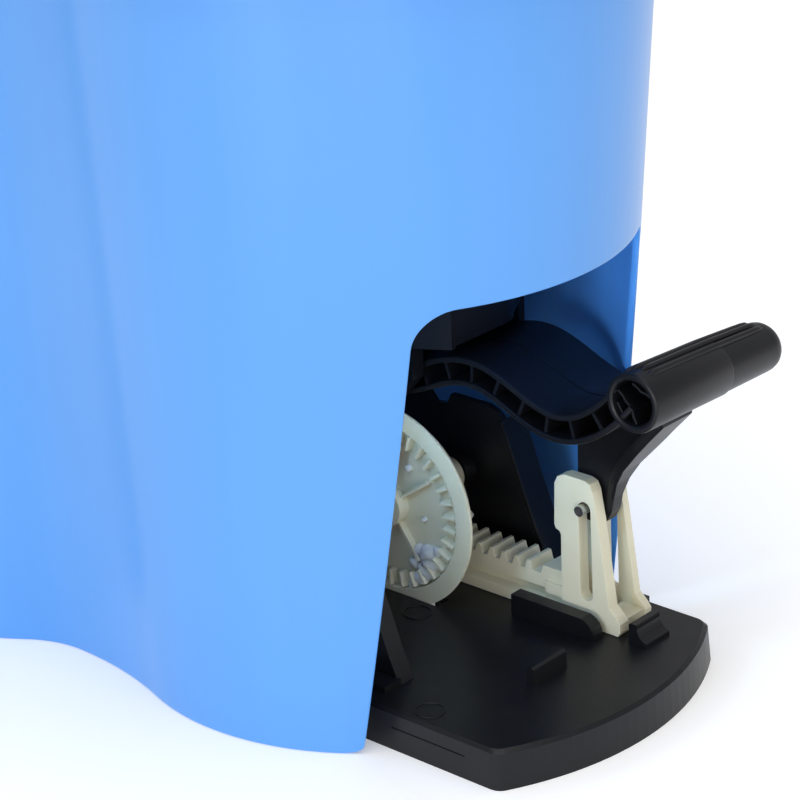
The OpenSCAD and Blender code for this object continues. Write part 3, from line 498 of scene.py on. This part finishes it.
def soften(obj, width, segments=3, angle=30.0):
    """Rounds an object's sharp edges."""
    mod = obj.modifiers.new("soften", "BEVEL")
    mod.width = width
    mod.segments = segments
    mod.limit_method = "ANGLE"
    mod.angle_limit = math.radians(angle)
    mod.harden_normals = True
    mod.miter_outer = "MITER_ARC"
    return obj


bucket_parts = [wall_shell(), spin_floor(), partition(), wash_floor(), hinge_ears()]
shell = add_mesh("bucket_shell", *join(bucket_parts), smooth_angle=32)
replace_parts(place(shell, "housing", "bucket_blue"), "bucket")


# ------------------------------------------------------------------ pedal
ARM_NEAR, ARM_FAR = 17.5, 70.5
ARM_X0, ARM_X1 = -3.0, 121.0
ARM_MID_Y = (ARM_NEAR + ARM_FAR) / 2
WAVE_Z, WAVE_H, WAVE_TOP_X, WAVE_END_X = 119.3, 6.5, 41, 86
WAVE_RATE = 4
TAIL_RISE = 0.018
PIVOT = (-4.0, 113.0)
BAR = (126.0, 134.0)
BAR_R = 12.0
BAR_LIP_R = 12.6
BAR_DIP = 4.0
BAR_FAR_R = 10.9
BAR_STEP_Y = 69.0
LEG_MID = 45.5
SLITS = [(33.7, 41.3), (51.7, 57.3)]


def arm_point(x, d):
    """Point at distance d above the arm's middle line: a cosine wave whose last part is a parabola."""
    if x < WAVE_END_X:
        phase = math.radians(WAVE_RATE * (x - WAVE_TOP_X))
        z = WAVE_Z + WAVE_H * math.cos(phase)
        slope = -WAVE_RATE * WAVE_H * math.pi / 180 * math.sin(phase)
    else:
        past = x - WAVE_END_X
        z, slope = WAVE_Z - WAVE_H + TAIL_RISE * past ** 2, 2 * TAIL_RISE * past
    k = d / math.hypot(1, slope)
    return x - slope * k, z + k


def arm_skin(outer, inner, seam):
    """One skin of the arm: a rounded strip swept along the wave, with the mould's seam if asked."""
    r, mid, up = 1.2, ARM_MID_Y, 1 if outer > inner else -1
    edge = [(0.0, 1.0), (0.1, 0.55), (0.35, 0.2), (0.75, 0.03), (1.2, 0.0)]
    loop = [(ARM_NEAR + a * r / 1.2, outer - up * b * r) for a, b in edge]
    if seam:
        floor_z = outer - 0.8
        loop += [(mid - 0.9, outer), (mid - 0.2, floor_z), (mid + 0.2, floor_z), (mid + 0.9, outer)]
    loop += [(ARM_FAR - a * r / 1.2, outer - up * b * r) for a, b in reversed(edge)]
    loop += [(ARM_FAR, inner + up * 0.3), (ARM_FAR - 0.3, inner)]
    loop += [(ARM_NEAR + 0.3, inner), (ARM_NEAR, inner + up * 0.3)]
    verts, rows = [], 90
    for i in range(rows):
        x = ARM_X0 + (ARM_X1 - ARM_X0) * i / (rows - 1)
        for y, d in loop:
            px, pz = arm_point(x, d)
            verts.append((px, y, pz))
    return verts, tube_faces(rows, len(loop))


def arm_strip(y0, y1, half):
    """Web along the arm between its skins."""
    xs = np.linspace(ARM_X0, ARM_X1, 60)
    return prism([arm_point(x, half) for x in xs] + [arm_point(x, -half) for x in xs[::-1]], y0, y1)


def bar_dip(y):
    """How far the foot bar's middle has dropped at y: it leans down a little to its far end."""
    span = 90.0
    return BAR_DIP * max(0.0, y - ARM_NEAR) / span


def lathe_y(profile, centre, segments, dip=lambda y: 0.0):
    """Closed profile of (radius, y) turned about an axis along Y through centre, and lowered by dip."""
    verts, n = [], len(profile)
    for j in range(segments):
        a = 2 * math.pi * j / segments
        for r, y in profile:
            verts.append((centre[0] + r * math.cos(a), y, centre[1] + r * math.sin(a) - dip(y)))
    return verts, loft_faces(segments, n, close_rows=True)


def ribbon(path, width, y0, y1):
    """Thin curved plate standing along Y, from a path in x and z."""
    left, right = [], []
    for i, p in enumerate(path):
        a, b = Vector(path[max(i - 1, 0)]), Vector(path[min(i + 1, len(path) - 1)])
        t = (b - a).normalized() * width / 2
        left.append((p[0] - t[1], p[1] + t[0]))
        right.append((p[0] + t[1], p[1] - t[0]))
    return prism(left + right[::-1], y0, y1)


def ridge(angle, y0, y1):
    """Raised half-round grip ridge along the foot bar, faded out at both ends."""
    verts, rows, cols = [], 40, 9
    a0 = math.radians(angle)
    for i in range(rows):
        t = i / (rows - 1)
        y = y0 + (y1 - y0) * t
        end = min(t, 1 - t) * 14
        fade = math.sqrt(1 - (1 - end) ** 2) if end < 1 else 1.0
        high, wide = 0.25 + 1.35 * fade, 0.7 + 0.75 * fade
        body = np.interp(y, [ARM_NEAR, BAR_STEP_Y, 101.5], [BAR_LIP_R, BAR_R, BAR_FAR_R])
        for k in range(cols):
            b = math.pi * k / (cols - 1)
            r, side = body + high * math.sin(b) * 0.95 - 0.2, wide * math.cos(b)
            r -= 1.0 if k in (0, cols - 1) else 0.0
            verts.append((BAR[0] + r * math.sin(a0) + side * math.cos(a0), y,
                          BAR[1] + r * math.cos(a0) - side * math.sin(a0) - bar_dip(y)))
    return verts, tube_faces(rows, cols)


def foot_bar():
    """Hollow bar for the foot: open lipped near end, a step where its mould closes, domed far end."""
    r, far_r, near, far = BAR_R, BAR_FAR_R, ARM_NEAR - 1.0, 109.0
    lip = [(9.5, near + 1.3), (9.7, near + 0.5), (10.3, near + 0.05), (11.7, near), (12.4, near + 0.4),
           (BAR_LIP_R, near + 1.2)]
    step = [(r, BAR_STEP_Y), (r - 0.15, BAR_STEP_Y + 0.5), (r - 0.5, BAR_STEP_Y + 0.9)]
    dome = [(far_r, 101.5), (far_r - 0.15, 103.6), (far_r - 0.6, 105.5), (far_r - 1.5, 107.1),
            (far_r - 3.0, 108.3), (7.0, 108.9), (4.0, far), (0.02, far)]
    bore = [(0.02, 95.0), (8.4, 95.0), (8.5, 94.0)]
    parts = [lathe_y(lip + step + dome + bore, BAR, 96, bar_dip)]
    wave = [(-9.3, 4.6), (-6.6, 2.6), (-4.4, -0.2), (-2.2, -1.6), (-1.2, -3.6), (-0.6, -6.2), (1.2, -9.4)]
    low = [(-9.5, -1.4), (-8.0, -3.8), (-6.6, -6.0), (-5.2, -8.2)]
    high = [(-1.2, 9.5), (1.6, 8.2), (3.6, 6.6), (6.0, 6.4), (8.3, 5.2)]
    for path in (wave, low, high):
        fitted = [(BAR[0] + u * 0.9, BAR[1] + v * 0.9 - 0.7) for u, v in path]
        parts.append(ribbon(fitted, 1.1, near + 1.8, 60.0))
    parts += [ridge(a, ARM_NEAR + 4.5, 101.0) for a in (-38, -19, 0, 19)]
    return parts


def leg():
    """Leg under the bar: a web, and a front flange that widens upwards."""
    web = [(79, 110), (78.8, 70), (80, 65), (83, 62.4), (89, 62), (93.4, 64.5), (95.8, 69), (97.2, 76),
           (99.6, 83.5), (104, 91), (110.6, 99), (119, 109), (127, 123), (112, 126)]
    front = [(93.9, 64.2), (96.4, 69), (97.8, 76), (100.2, 83.2), (104.6, 90.6), (111.2, 98.5),
             (119.6, 108.5), (127.6, 117.5)]
    back = [(91.4, 66.2), (92.9, 69.6), (94.6, 76), (97, 85), (101, 93), (107.5, 101.5),
            (116, 111.5), (126.4, 123.4)]
    rows = 36
    verts = []
    for t in np.linspace(0, len(front) - 1, rows):
        i = min(int(t), len(front) - 2)
        f = [front[i][k] + (front[i + 1][k] - front[i][k]) * (t - i) for k in (0, 1)]
        b = [back[i][k] + (back[i + 1][k] - back[i][k]) * (t - i) for k in (0, 1)]
        w = float(np.interp(f[1], [55, 76, 86, 102, 130], [4, 4, 6, 10, 11])) - 0.15
        c = 0.8
        fb = [f[k] + (b[k] - f[k]) * 0.28 for k in (0, 1)]
        left, right = LEG_MID - w, LEG_MID + w
        verts += [(f[0], left + c, f[1]), (f[0], right - c, f[1]), (fb[0], right, fb[1]),
                  (b[0], right, b[1]), (b[0], left, b[1]), (fb[0], left, fb[1])]
    flange = (verts, tube_faces(rows, 6))
    corners = [2, 3, 2, 2, 3, 2, 2, 1, 1, 1, 1, 1, 0, 0]
    return [prism(rounded(web, corners), LEG_MID - 3.2, LEG_MID + 3.2), flange]


def box_solid(a, b):
    """Plain block used only as a cutter."""
    return prism([(a[0], a[2]), (b[0], a[2]), (b[0], b[2]), (a[0], b[2])], a[1], b[1])


def cut(obj, *cutters):
    """Removes the cutters' volume from obj for good."""
    for i, solid in enumerate(cutters):
        tool = add_mesh("cutter%d" % i, *solid)
        mod = obj.modifiers.new("cut", "BOOLEAN")
        mod.operation, mod.solver, mod.object = "DIFFERENCE", "EXACT", tool
        mod.use_self = True
        bpy.context.view_layer.update()
        done = bpy.data.meshes.new_from_object(obj.evaluated_get(bpy.context.evaluated_depsgraph_get()))
        obj.modifiers.clear()
        old, obj.data = obj.data, done
        bpy.data.meshes.remove(old)
        bpy.data.objects.remove(tool)
    shade(obj.data, 35)
    return obj


def pedal_arm():
    """Lower skin of the waved arm with the web and ribs that stand between the skins, slit below where the
    fork comes up into it.
    """
    inner = [arm_skin(-6.3, -3.8, False), arm_strip(ARM_MID_Y - 2, ARM_MID_Y + 2, 5.0)]
    for x in np.arange(16.4, 108, 13.0):
        rib = [arm_point(x + u, v) for u, v in ((-0.7, -5), (0.7, -5), (0.7, 5), (-0.7, 5))]
        inner.append(prism(rib, ARM_NEAR + 1.2, ARM_FAR - 1.2))
    arm = add_mesh("pedal_ribs", *join(inner), smooth_angle=35)
    cut(arm, *[box_solid((58, y0, 95), (99.5, y1, 116)) for y0, y1 in SLITS])
    return arm


def pedal_body():
    """The arm's upper skin with the pivot's boss, the foot bar and the leg."""
    boss = [(4.15, ARM_NEAR + 0.6), (4.7, ARM_NEAR), (7.6, ARM_NEAR), (8.4, ARM_NEAR + 0.8),
            (8.4, ARM_FAR - 0.8), (7.6, ARM_FAR), (4.7, ARM_FAR), (4.15, ARM_FAR - 0.6)]
    parts = [arm_skin(6.3, 3.8, True), lathe_y(boss, PIVOT, 64)] + foot_bar() + leg()
    return add_mesh("pedal_body", *join(parts), smooth_angle=38)


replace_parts(soften(place(pedal_body(), "pedal", "black_plastic"), 0.3 * MM, 2, 40), "pedal")
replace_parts(place(pedal_arm(), "pedal", "black_plastic"), "pedal")


# ------------------------------------------------------------------ grease on the crown gear
# radius from the axle, angle, size and depth of each lump
GREASE = [(27.5, -42, 5.6, 2.9), (31.0, -47, 5.0, 2.8), (24.5, -50, 4.4, 2.4), (32.5, -56, 4.6, 2.6),
          (29.5, -33, 3.0, 2.0), (34.5, -65, 3.6, 2.2), (18.5, -8, 1.3, 1.2), (21.5, 62, 2.0, 1.4),
          (37.5, -72, 2.8, 1.7), (28.0, -64, 3.4, 1.9)]
DISH_DEPTH = 5.4


def grease_lump(k, centre, size, deep):
    """One uneven lump, different for each k."""
    bm = bmesh.new()
    bmesh.ops.create_icosphere(bm, subdivisions=4, radius=1.0)
    for v in bm.verts:
        n = v.co.copy()
        swell = 0.12 * math.sin(2.2 * n.x + 2.0 * k) * math.sin(2.0 * n.z + k)
        ripple = 0.04 * math.sin(5 * n.x + 4 * n.z + 3 * k)
        v.co = Vector((n.x * size, n.y * deep, n.z * size * 0.85)) * (1 + swell + ripple)
    verts = [tuple(centre + v.co) for v in bm.verts]
    faces = [tuple(v.index for v in f.verts) for f in bm.faces]
    bm.free()
    return verts, faces


def grease():
    """Lumps of white grease pushed up inside the crown gear's dish."""
    low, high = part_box("crown_gear")
    axle_z = (low.z + high.z) / 2 / MM
    parts = []
    for k, (radius, angle, size, deep) in enumerate(GREASE):
        a = math.radians(angle)
        centre = Vector((radius * math.cos(a), low.y / MM + DISH_DEPTH, axle_z + radius * math.sin(a)))
        parts.append(grease_lump(k, centre, size, deep))
    return add_mesh("grease_lumps", *join(parts), smooth_angle=80)


place(grease(), "crown", "ivory_plastic", "grease")


# ------------------------------------------------------------------ carried-over CAD nodes
def dress(node, mat, round_width=0.4):
    """Gives a CAD node its material and rounds its sharp edges."""
    obj = NODES[node]
    obj.data.materials.clear()
    obj.data.materials.append(MATERIALS[mat])
    weld = obj.modifiers.new("weld", "WELD")
    weld.merge_threshold = 2e-6
    if round_width:
        flat = obj.modifiers.new("flat", "DECIMATE")
        flat.decimate_type = "DISSOLVE"
        flat.angle_limit = math.radians(0.6)
        soften(obj, round_width * MM, 2, 28)
    return obj


# material and the CAD nodes that show it
COATS = {
    "black_plastic": ["base_plate", "near_side_plate", "far_side_plate"],
    "case_plastic": ["upper_case"],
    "ivory_plastic": ["rack_fork", "crown_gear", "shaft_pinion"],
    "steel": ["drive_pin", "gear_axle", "axle_clips", "drive_shaft", "shaft_clip", "clutch_hub",
              "clutch_rollers", "clutch_ring", "shaft_screw", "pivot_shaft", "pivot_clip", "return_spring",
              "base_screws", "case_screws", "side_screws"],
    "bushing_bronze": ["axle_bushings", "lower_bushing", "upper_bushing"],
    "seal_rubber": ["shaft_seal"],
    "basket_plastic": ["basket", "hub_cap"],
    "handle_blue": ["carry_handle", "handle_pins"],
    "grip_plastic": ["handle_grip"],
}
ROUND = {"base_plate": 0.8, "rack_fork": 0.6, "crown_gear": 0.3, "near_side_plate": 0.4,
         "far_side_plate": 0.4, "upper_case": 0.7, "basket": 0.4, "carry_handle": 0.8, "handle_grip": 0.6}
for mat_name, members in COATS.items():
    for member in members:
        dress(member, mat_name, ROUND.get(member, 0.0))


# ------------------------------------------------------------------ stage, light and camera
def floor():
    """Pale studio floor."""
    half = 6.0 / MM
    obj = add_mesh("floor", [(-half, -half, 0), (half, -half, 0), (half, half, 0), (-half, half, 0)],
                   [(0, 1, 2, 3)])

    def build(tree, bsdf, vec):
        bsdf.inputs["Base Color"].default_value = (0.97, 0.97, 0.97, 1)
        bsdf.inputs["Emission Color"].default_value = (1, 1, 1, 1)
        bsdf.inputs["Emission Strength"].default_value = 0.22
        bsdf.inputs["Roughness"].default_value = 0.9
        bsdf.inputs["Specular IOR Level"].default_value = 0.1
    obj.data.materials.append(material("floor_white", build))


def lamp(name, location, target, size, power, colour=(1, 1, 1)):
    """Rectangular lamp aimed at target; size and places are in metres."""
    data = bpy.data.lights.new(name, "AREA")
    data.shape = "RECTANGLE"
    data.size, data.size_y = size
    data.energy = power
    data.color = colour
    obj = bpy.data.objects.new(name, data)
    obj.location = location
    obj.rotation_euler = (Vector(target) - Vector(location)).to_track_quat("-Z", "Y").to_euler()
    scene.collection.objects.link(obj)
    return obj


def camera():
    """Camera above the pedal's end, turned by azimuth, tipped down by pitch and rolled a little."""
    azimuth, pitch, roll = math.radians(41.839), math.radians(22.734), math.radians(-1.953)
    level = math.cos(pitch)
    ahead = Vector((-math.sin(azimuth) * level, math.cos(azimuth) * level, -math.sin(pitch)))
    right = Vector((math.cos(azimuth), math.sin(azimuth), 0))
    up = right.cross(ahead)
    rolled_right = right * math.cos(roll) + up * math.sin(roll)
    rolled_up = up * math.cos(roll) - right * math.sin(roll)
    data = bpy.data.cameras.new("camera")
    data.lens = 128.604
    data.sensor_width = 36.0
    data.clip_start, data.clip_end = 0.01, 50
    obj = bpy.data.objects.new("camera", data)
    pose = Matrix((rolled_right, rolled_up, -ahead)).transposed().to_4x4()
    pose.translation = (0.747147, -0.813245, 0.571738)
    obj.matrix_world = pose
    scene.collection.objects.link(obj)
    scene.camera = obj


floor()
lamp("top", (0.1, -0.2, 2.4), (0, 0, 0.1), (2.6, 2.6), 34)
lamp("key", (0.35, -1.7, 0.2), (0.0, 0, 0.06), (0.8, 0.35), 7.5)
lamp("low", (0.75, -0.72, 0.12), (0.08, 0, 0.06), (0.5, 0.16), 0.8)
lamp("side", (1.9, -0.3, 0.5), (0.05, 0, 0.08), (0.7, 0.7), 4)
glow = lamp("glow", (0.030, -0.062, 0.140), (0.080, 0.09, 0.13), (0.03, 0.06), 0.12, (0.45, 0.72, 1.0))
glow.visible_glossy = False
world = bpy.data.worlds.new("studio")
world.use_nodes = True
world.node_tree.nodes["Background"].inputs["Color"].default_value = (1, 1, 1, 1)
world.node_tree.nodes["Background"].inputs["Strength"].default_value = 0.5
scene.world = world
scene.view_settings.view_transform = "Standard"
scene.view_settings.look = "None"
camera()
